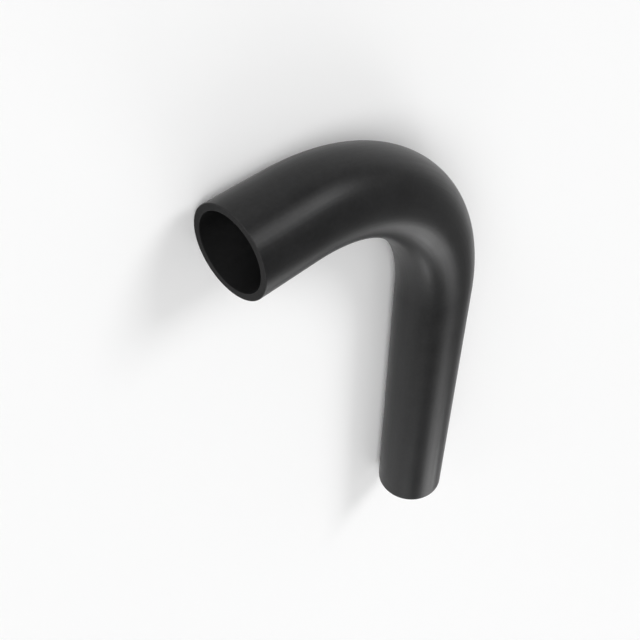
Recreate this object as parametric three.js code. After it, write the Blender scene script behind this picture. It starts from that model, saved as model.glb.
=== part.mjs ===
// Moulded radiator hose: a right-angle rubber elbow with one short and one long straight leg.
// Units are millimetres, +Z is up. The hose lies on its side, so its centreline is level.
// The short leg runs along Y with its open end facing -Y. The long leg runs along X and opens
// towards +X. The origin is under the middle of the hose's bounding box, on the surface it lies on.
import * as THREE from "three";
import { toCreasedNormals } from "three/addons/utils/BufferGeometryUtils.js";

// Driving dimensions. The two legs are the straight rubber outside the bend.
const BORE_DIAMETER = 38;
const WALL_THICKNESS = 3.5;
const SHORT_LEG_LENGTH = 33.5;
const LONG_LEG_LENGTH = 190;
const BEND_RADIUS = 112;
const BEND_ANGLE = 90;
const RIM_BEVEL = 0.3;

// Fineness of the facets.
const FACETS_AROUND = 64;
const BEND_STEPS = 30;
const CREASE_ANGLE = 25;

const boreRadius = BORE_DIAMETER / 2;
const outerRadius = boreRadius + WALL_THICKNESS;
const bendAngle = THREE.MathUtils.degToRad(BEND_ANGLE);
const bendLength = BEND_RADIUS * bendAngle;
const hoseLength = SHORT_LEG_LENGTH + bendLength + LONG_LEG_LENGTH;

// The line down the middle of the bore: straight, a circular arc to the right, straight.
// Its parameter is already the share of the length, so equal steps are equal lengths.
class ElbowCentreline extends THREE.Curve {
  turnAt(t) {
    return THREE.MathUtils.clamp((t * hoseLength - SHORT_LEG_LENGTH) / BEND_RADIUS, 0, bendAngle);
  }

  getPoint(t, target = new THREE.Vector3()) {
    const travelled = t * hoseLength;
    const turn = this.turnAt(t);
    const onShortLeg = Math.min(travelled, SHORT_LEG_LENGTH);
    const onLongLeg = Math.max(travelled - SHORT_LEG_LENGTH - bendLength, 0);
    target.set(BEND_RADIUS * (1 - Math.cos(turn)), onShortLeg + BEND_RADIUS * Math.sin(turn), 0);
    return target.addScaledVector(this.getTangent(t), onLongLeg);
  }

  getTangent(t, target = new THREE.Vector3()) {
    const turn = this.turnAt(t);
    return target.set(Math.sin(turn), Math.cos(turn), 0);
  }
}

// Distances along the hose where the wall needs a ring of vertices, without the two end faces.
function wallStations() {
  const stations = [RIM_BEVEL];
  for (let step = 0; step <= BEND_STEPS; step++) {
    stations.push(SHORT_LEG_LENGTH + (bendLength * step) / BEND_STEPS);
  }
  stations.push(hoseLength - RIM_BEVEL);
  return stations;
}

// Half of the straight tube's lengthwise section, as x = distance from the axis and
// y = distance along it: up the outside, over the far rim, down the bore and back to the start.
function tubeSection() {
  const stations = wallStations();
  const section = [
    new THREE.Vector2(outerRadius - RIM_BEVEL, 0),
    ...stations.map((along) => new THREE.Vector2(outerRadius, along)),
    new THREE.Vector2(outerRadius - RIM_BEVEL, hoseLength),
    new THREE.Vector2(boreRadius + RIM_BEVEL, hoseLength),
    ...stations.reverse().map((along) => new THREE.Vector2(boreRadius, along)),
    new THREE.Vector2(boreRadius + RIM_BEVEL, 0),
  ];
  section.push(section[0].clone());
  return section;
}

// Bends a tube that stands along Y onto a level curve, as a cut length of hose is pushed onto
// its mandrel: x goes to the inside of the bend, y goes along the curve and z stays up.
function bendOnto(curve, length, geometry) {
  const position = geometry.attributes.position;
  const up = new THREE.Vector3(0, 0, 1);
  const vertex = new THREE.Vector3();
  const inward = new THREE.Vector3();
  for (let i = 0; i < position.count; i++) {
    vertex.fromBufferAttribute(position, i);
    const t = vertex.y / length;
    inward.crossVectors(curve.getTangent(t), up);
    const placed = curve.getPoint(t).addScaledVector(inward, vertex.x).addScaledVector(up, vertex.z);
    position.setXYZ(i, placed.x, placed.y, placed.z);
  }
}

// Half a facet's turn about the axis puts a flat facet, and not an edge, under the hose.
function makeHoseGeometry() {
  const halfFacet = Math.PI / FACETS_AROUND;
  const tube = new THREE.LatheGeometry(tubeSection(), FACETS_AROUND, halfFacet);
  bendOnto(new ElbowCentreline(), hoseLength, tube);
  return toCreasedNormals(tube, THREE.MathUtils.degToRad(CREASE_ANGLE));
}

// Moves the geometry so that it rests on z = 0 with its bounding box centred over the origin.
function setDown(geometry) {
  geometry.computeBoundingBox();
  const { min, max } = geometry.boundingBox;
  geometry.translate(-(min.x + max.x) / 2, -(min.y + max.y) / 2, -min.z);
}

const rubber = new THREE.MeshStandardMaterial({ name: "rubber", color: 0x1d1d1e, roughness: 0.5, metalness: 0 });

const hoseGeometry = makeHoseGeometry();
setDown(hoseGeometry);
const hose = new THREE.Mesh(hoseGeometry, rubber);
hose.name = "hose";

const radiatorHose = new THREE.Group();
radiatorHose.add(hose);

export default radiatorHose;
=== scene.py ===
# Moulded radiator hose: a right-angle rubber elbow, lying on its side on a pale studio floor.
# Everything is in metres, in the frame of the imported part: +Z up, the hose's underside at z = 0.
import math
import bmesh
import bpy
from mathutils import Matrix, Vector


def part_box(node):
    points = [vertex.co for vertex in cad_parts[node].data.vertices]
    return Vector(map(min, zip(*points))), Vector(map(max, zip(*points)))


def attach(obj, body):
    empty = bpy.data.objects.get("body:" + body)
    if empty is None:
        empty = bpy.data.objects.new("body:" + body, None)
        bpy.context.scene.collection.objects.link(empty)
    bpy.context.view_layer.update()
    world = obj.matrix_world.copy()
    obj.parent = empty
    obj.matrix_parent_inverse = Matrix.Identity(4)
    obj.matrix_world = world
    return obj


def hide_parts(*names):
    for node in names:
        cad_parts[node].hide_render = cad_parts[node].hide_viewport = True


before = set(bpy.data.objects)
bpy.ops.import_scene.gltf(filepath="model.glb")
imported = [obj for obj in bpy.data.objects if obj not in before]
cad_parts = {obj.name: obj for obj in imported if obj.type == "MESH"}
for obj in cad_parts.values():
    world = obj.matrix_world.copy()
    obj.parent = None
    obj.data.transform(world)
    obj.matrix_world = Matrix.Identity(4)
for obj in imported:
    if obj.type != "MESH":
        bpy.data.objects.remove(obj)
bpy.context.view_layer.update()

# Camera. In the photograph the hose stands up, its long leg pointing straight down, and is seen
# from 45 degrees round and 45 degrees above. The hose lies on its side here, so the same view
# looks down on it at 30 degrees, with the picture rolled over.
FOCAL_PIXELS = 857.6
PICTURE_PIXELS = 640
SENSOR_WIDTH_MM = 36
NEAREST_SEEN = 0.01
LOOK_DOWN = math.radians(45)
MOUTH_FROM_CAMERA = Vector((-0.03691, 0.02707, -0.34805))  # to the right, up and back, in the picture

hose_low, hose_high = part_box("hose")
tube_radius = (hose_high.z - hose_low.z) / 2
short_leg_mouth = Vector((hose_low.x + tube_radius, hose_low.y, tube_radius))
picture_up = Vector((-1, 0, 0))
heading = Vector((0, 1, -1)).normalized()
view_forward = heading * math.cos(LOOK_DOWN) - picture_up * math.sin(LOOK_DOWN)
view_right = view_forward.cross(picture_up).normalized()
view_up = view_right.cross(view_forward)
view_turn = Matrix((view_right, view_up, -view_forward)).transposed()
camera_place = short_leg_mouth - view_turn @ MOUTH_FROM_CAMERA

camera = bpy.data.objects.new("camera", bpy.data.cameras.new("camera"))
camera.data.sensor_width = SENSOR_WIDTH_MM
camera.data.lens = FOCAL_PIXELS / PICTURE_PIXELS * SENSOR_WIDTH_MM
camera.data.clip_start = NEAREST_SEEN
camera.matrix_world = Matrix.Translation(camera_place) @ view_turn.to_4x4()
bpy.context.scene.collection.objects.link(camera)
bpy.context.scene.camera = camera
bpy.context.scene.view_settings.view_transform = "Standard"

# Floor. A wide sheet of matt white board, which the hose lies on. It runs so far that it meets
# the room only at the horizon, and the soft shadow that it keeps shows how the hose lies.
FLOOR_HALF_WIDTH = 60.0
FLOOR_COLOUR = (0.97, 0.97, 0.97, 1)
FLOOR_ROUGHNESS = 0.9
FLOOR_REFLECTION = 0.1


def white_board():
    material = bpy.data.materials.new("white_board")
    material.use_nodes = True
    shader = material.node_tree.nodes["Principled BSDF"]
    shader.inputs["Base Color"].default_value = FLOOR_COLOUR
    shader.inputs["Roughness"].default_value = FLOOR_ROUGHNESS
    shader.inputs["Specular IOR Level"].default_value = FLOOR_REFLECTION
    return material


edge = FLOOR_HALF_WIDTH
corners = [(-edge, -edge, 0), (edge, -edge, 0), (edge, edge, 0), (-edge, edge, 0)]
floor_mesh = bpy.data.meshes.new("floor")
floor_mesh.from_pydata(corners, [], [(0, 1, 2, 3)])
floor_mesh.materials.append(white_board())
floor = bpy.data.objects.new("floor", floor_mesh)
bpy.context.scene.collection.objects.link(floor)

# Lights. A dim room whose walls are as pale as the floor where they meet it, one large soft key
# lamp on the side that the short leg opens to, and smaller soft lamps that draw the highlights
# along the rubber. All are far off, so the floor is lit evenly out to the horizon.
WALL_STRENGTH = 0.97
CEILING_STRENGTH = 0.3
WALL_HEIGHT = math.radians(13)

room = bpy.data.worlds.new("room")
room.use_nodes = True
bpy.context.scene.world = room
nodes, links = room.node_tree.nodes, room.node_tree.links
look_direction = nodes.new("ShaderNodeTexCoord")
direction_parts = nodes.new("ShaderNodeSeparateXYZ")
wall_fade = nodes.new("ShaderNodeMapRange")
wall_fade.interpolation_type = "SMOOTHSTEP"
wall_fade.inputs["From Max"].default_value = math.sin(WALL_HEIGHT)
wall_fade.inputs["To Min"].default_value = WALL_STRENGTH
wall_fade.inputs["To Max"].default_value = CEILING_STRENGTH
links.new(look_direction.outputs["Generated"], direction_parts.inputs[0])
links.new(direction_parts.outputs["Z"], wall_fade.inputs["Value"])
links.new(wall_fade.outputs["Result"], nodes["Background"].inputs["Strength"])
nodes["Background"].inputs["Color"].default_value = (1, 1, 1, 1)


def soft_lamp(name, bearing, height, width, level):
    """A round, far-off lamp. Bearing is in degrees from +X towards +Y, height in degrees above the
    floor and width in degrees across. Straight above, a level of 1 alone lights white as white."""
    lamp = bpy.data.objects.new(name, bpy.data.lights.new(name, "SUN"))
    lamp.data.angle = math.radians(width)
    lamp.data.energy = level * math.pi
    lamp.rotation_euler = (0, math.radians(90 - height), math.radians(bearing))
    bpy.context.scene.collection.objects.link(lamp)


soft_lamp("key", bearing=240, height=36, width=42, level=0.65)
soft_lamp("low_beside_key", bearing=225, height=7, width=14, level=0.2)
soft_lamp("outside_bend", bearing=133, height=40, width=25, level=0.31)
soft_lamp("beyond_long_leg", bearing=18, height=17.5, width=26, level=0.124)
soft_lamp("high_beyond_long_leg", bearing=9, height=36, width=20, level=0.058)
soft_lamp("low_beyond_long_leg", bearing=-10, height=7, width=14, level=0.045)
soft_lamp("low_inside_bend", bearing=-30, height=15, width=22, level=0.03)

# Hose. One piece of black cured rubber, extruded as a tube, slid onto a bent steel mandrel,
# cured there in steam and pulled off. Its two ends are then cut square with a knife, which
# leaves flat, duller rings, and the bore keeps the dull print of the mandrel.
WALL_THICKNESS = 0.0035
SHORT_LEG_LENGTH = 0.0335
LONG_LEG_LENGTH = 0.190
BEND_RADIUS = 0.112
BEND_ANGLE = math.radians(90)
CUT_EDGE_RADIUS = 0.0003

FACES_AROUND = 128
BEND_STEPS = 96
LEG_STEP = 0.004
CUT_EDGE_STEPS = 4

bend_length = BEND_RADIUS * BEND_ANGLE
hose_length = SHORT_LEG_LENGTH + bend_length + LONG_LEG_LENGTH
bore_radius = tube_radius - WALL_THICKNESS


def on_centreline(along):
    """The point at a distance along the middle of the bore, and the direction there."""
    turn = min(max((along - SHORT_LEG_LENGTH) / BEND_RADIUS, 0), BEND_ANGLE)
    direction = Vector((math.sin(turn), math.cos(turn), 0))
    round_bend = Vector((1 - math.cos(turn), math.sin(turn), 0)) * BEND_RADIUS
    up_short_leg = Vector((0, min(along, SHORT_LEG_LENGTH), 0))
    down_long_leg = direction * max(along - SHORT_LEG_LENGTH - bend_length, 0)
    return short_leg_mouth + up_short_leg + round_bend + down_long_leg, direction


def rings_between(start, end, step):
    """Distances along the hose from start up to, but not at, end, about a step apart."""
    count = max(1, round((end - start) / step))
    return [start + (end - start) * i / count for i in range(count)]


def cut_edge(radius, along, start_degrees):
    """A quarter round about a point of the wall's section, as (radius, along) points."""
    points = []
    for i in range(CUT_EDGE_STEPS + 1):
        angle = math.radians(start_degrees + 90 * i / CUT_EDGE_STEPS)
        outward = CUT_EDGE_RADIUS * math.cos(angle)
        onward = CUT_EDGE_RADIUS * math.sin(angle)
        points.append((radius + outward, along + onward))
    return points


def wall_section():
    """The wall cut lengthwise: a loop of (radius, along) up the outside and down the bore."""
    first, last = CUT_EDGE_RADIUS, hose_length - CUT_EDGE_RADIUS
    bend_end = SHORT_LEG_LENGTH + bend_length
    rings = rings_between(first, SHORT_LEG_LENGTH, LEG_STEP)
    rings += rings_between(SHORT_LEG_LENGTH, bend_end, bend_length / BEND_STEPS)
    rings += rings_between(bend_end, last, LEG_STEP)
    outer_middle = tube_radius - CUT_EDGE_RADIUS
    inner_middle = bore_radius + CUT_EDGE_RADIUS
    return (
        [(tube_radius, along) for along in rings]
        + cut_edge(outer_middle, last, 0)
        + cut_edge(inner_middle, last, 90)
        + [(bore_radius, along) for along in reversed(rings[1:])]
        + cut_edge(inner_middle, first, 180)
        + cut_edge(outer_middle, first, 270)[:-1]
    )


MOULDED, CUT, BORE = range(3)


def finish_of(a, b):
    """Which finish the strip of wall between two points of the section has."""
    if a[1] == b[1]:
        return CUT
    return MOULDED if a[0] + b[0] > tube_radius + bore_radius else BORE


def hose_mesh():
    """Turns the section into a tube, bent along the centreline.

    The attribute unbent keeps where each point was while the tube was straight, so that the
    marks of extrusion can follow the hose round its bend."""
    section = wall_section()
    mesh = bmesh.new()
    unbent = mesh.verts.layers.float_vector.new("unbent")
    up = Vector((0, 0, 1))
    rings = []
    for radius, along in section:
        point, direction = on_centreline(along)
        inward = direction.cross(up)
        ring = []
        for i in range(FACES_AROUND):
            angle = 2 * math.pi * i / FACES_AROUND
            sideways, upward = radius * math.cos(angle), radius * math.sin(angle)
            vertex = mesh.verts.new(point + inward * sideways + up * upward)
            vertex[unbent] = (sideways, upward, along)
            ring.append(vertex)
        rings.append(ring)
    for i, ring in enumerate(rings):
        following = (i + 1) % len(rings)
        finish = finish_of(section[i], section[following])
        for j in range(FACES_AROUND):
            beside = (j + 1) % FACES_AROUND
            face = mesh.faces.new((ring[j], rings[following][j], rings[following][beside], ring[beside]))
            face.material_index = finish
            face.smooth = True
    bmesh.ops.recalc_face_normals(mesh, faces=mesh.faces)
    made = bpy.data.meshes.new("moulded_hose")
    mesh.to_mesh(made)
    mesh.free()
    return made


RUBBER_IOR = 1.45
RUBBER_REFLECTION = 0.25
CLOUD_WIDTH = 0.014
DUST_WIDTH = 0.002
GRAIN_WIDTH = 0.0005
GRAIN_HEIGHT = 0.00001
NOISE_DETAIL = 4
NOISE_LOW, NOISE_HIGH = 0.3, 0.7
TONE_SPREAD = 0.3
CLOUD_GLOSS_SPREAD = 0.02
MARK_GLOSS_SPREAD = 0.025

# How each kind of mark is drawn out, across, up and along the tube before it is bent.
LENGTHWISE = (1, 1, 0.02)
ONE_WAY_ACROSS = (1, 0.03, 1)


def rubber(name, colour, roughness, mark_width, mark_stretch, mark_height):
    """Black rubber: cloudy and dusty in tone, with a fine grain, and marks drawn out one way."""
    material = bpy.data.materials.new(name)
    material.use_nodes = True
    nodes, links = material.node_tree.nodes, material.node_tree.links
    shader = nodes["Principled BSDF"]
    shader.inputs["IOR"].default_value = RUBBER_IOR
    shader.inputs["Specular IOR Level"].default_value = RUBBER_REFLECTION

    place = nodes.new("ShaderNodeAttribute")
    place.attribute_name = "unbent"

    def noise(width, stretch=(1, 1, 1)):
        """Noise about as coarse as the width, where the tube was before it was bent."""
        squeezed = nodes.new("ShaderNodeVectorMath")
        squeezed.operation = "MULTIPLY"
        squeezed.inputs[1].default_value = stretch
        links.new(place.outputs["Vector"], squeezed.inputs[0])
        made = nodes.new("ShaderNodeTexNoise")
        made.inputs["Scale"].default_value = 1 / width
        made.inputs["Detail"].default_value = NOISE_DETAIL
        links.new(squeezed.outputs[0], made.inputs["Vector"])
        return made.outputs["Fac"]

    def spread(value, low, high):
        """Maps the middle of a noise's range onto low to high."""
        mapped = nodes.new("ShaderNodeMapRange")
        mapped.inputs["From Min"].default_value = NOISE_LOW
        mapped.inputs["From Max"].default_value = NOISE_HIGH
        mapped.inputs["To Min"].default_value = low
        mapped.inputs["To Max"].default_value = high
        links.new(value, mapped.inputs["Value"])
        return mapped.outputs["Result"]

    def total(first, second):
        added = nodes.new("ShaderNodeMath")
        added.operation = "ADD"
        links.new(first, added.inputs[0])
        links.new(second, added.inputs[1])
        return added.outputs[0]

    clouds, dust = noise(CLOUD_WIDTH), noise(DUST_WIDTH)
    grain, marks = noise(GRAIN_WIDTH), noise(mark_width, mark_stretch)

    tone = nodes.new("ShaderNodeMix")
    tone.data_type = "RGBA"
    tone.inputs["A"].default_value = [c * (1 - TONE_SPREAD) for c in colour] + [1]
    tone.inputs["B"].default_value = [c * (1 + TONE_SPREAD) for c in colour] + [1]
    links.new(total(spread(clouds, 0, 0.5), spread(dust, 0, 0.5)), tone.inputs["Factor"])
    links.new(tone.outputs["Result"], shader.inputs["Base Color"])

    cloudy_gloss = spread(clouds, roughness - CLOUD_GLOSS_SPREAD, roughness + CLOUD_GLOSS_SPREAD)
    marked_gloss = spread(marks, -MARK_GLOSS_SPREAD, MARK_GLOSS_SPREAD)
    links.new(total(cloudy_gloss, marked_gloss), shader.inputs["Roughness"])

    skin = nodes.new("ShaderNodeBump")
    skin.inputs["Distance"].default_value = 1
    height = total(spread(grain, 0, GRAIN_HEIGHT), spread(marks, 0, mark_height))
    links.new(height, skin.inputs["Height"])
    links.new(skin.outputs["Normal"], shader.inputs["Normal"])
    return material


def moulded_rubber():
    """The outside: satin, with faint lines left by the extruder."""
    return rubber("moulded_rubber", (0.0104, 0.0104, 0.0107), roughness=0.355,
                  mark_width=0.0014, mark_stretch=LENGTHWISE, mark_height=0.00001)


def cut_rubber_and_painted_shade():
    """The end rings: dull, with the fine strokes of the knife; their darker colour is painted shade."""
    # Colour darker than the outside's: painted shade on the end rings.
    return rubber("cut_rubber_and_painted_shade", (0.0072, 0.0072, 0.0074), roughness=0.72,
                  mark_width=0.0004, mark_stretch=ONE_WAY_ACROSS, mark_height=0.00002)


def bore_rubber_and_painted_shade():
    """The inside: dull, with the scrapes of the mandrel drawn out; its darker colour is painted shade.
    """
    # Colour darker than the outside's: painted shade inside the tube.
    return rubber("bore_rubber_and_painted_shade", (0.006, 0.006, 0.0062), roughness=0.58,
                  mark_width=0.001, mark_stretch=LENGTHWISE, mark_height=0.00002)


hose = bpy.data.objects.new("moulded_hose", hose_mesh())
bpy.context.scene.collection.objects.link(hose)
hose.data.materials.append(moulded_rubber())
hose.data.materials.append(cut_rubber_and_painted_shade())
hose.data.materials.append(bore_rubber_and_painted_shade())
hose.modifiers.new("flat_rings", "WEIGHTED_NORMAL")
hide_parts("hose")
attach(hose, "root")
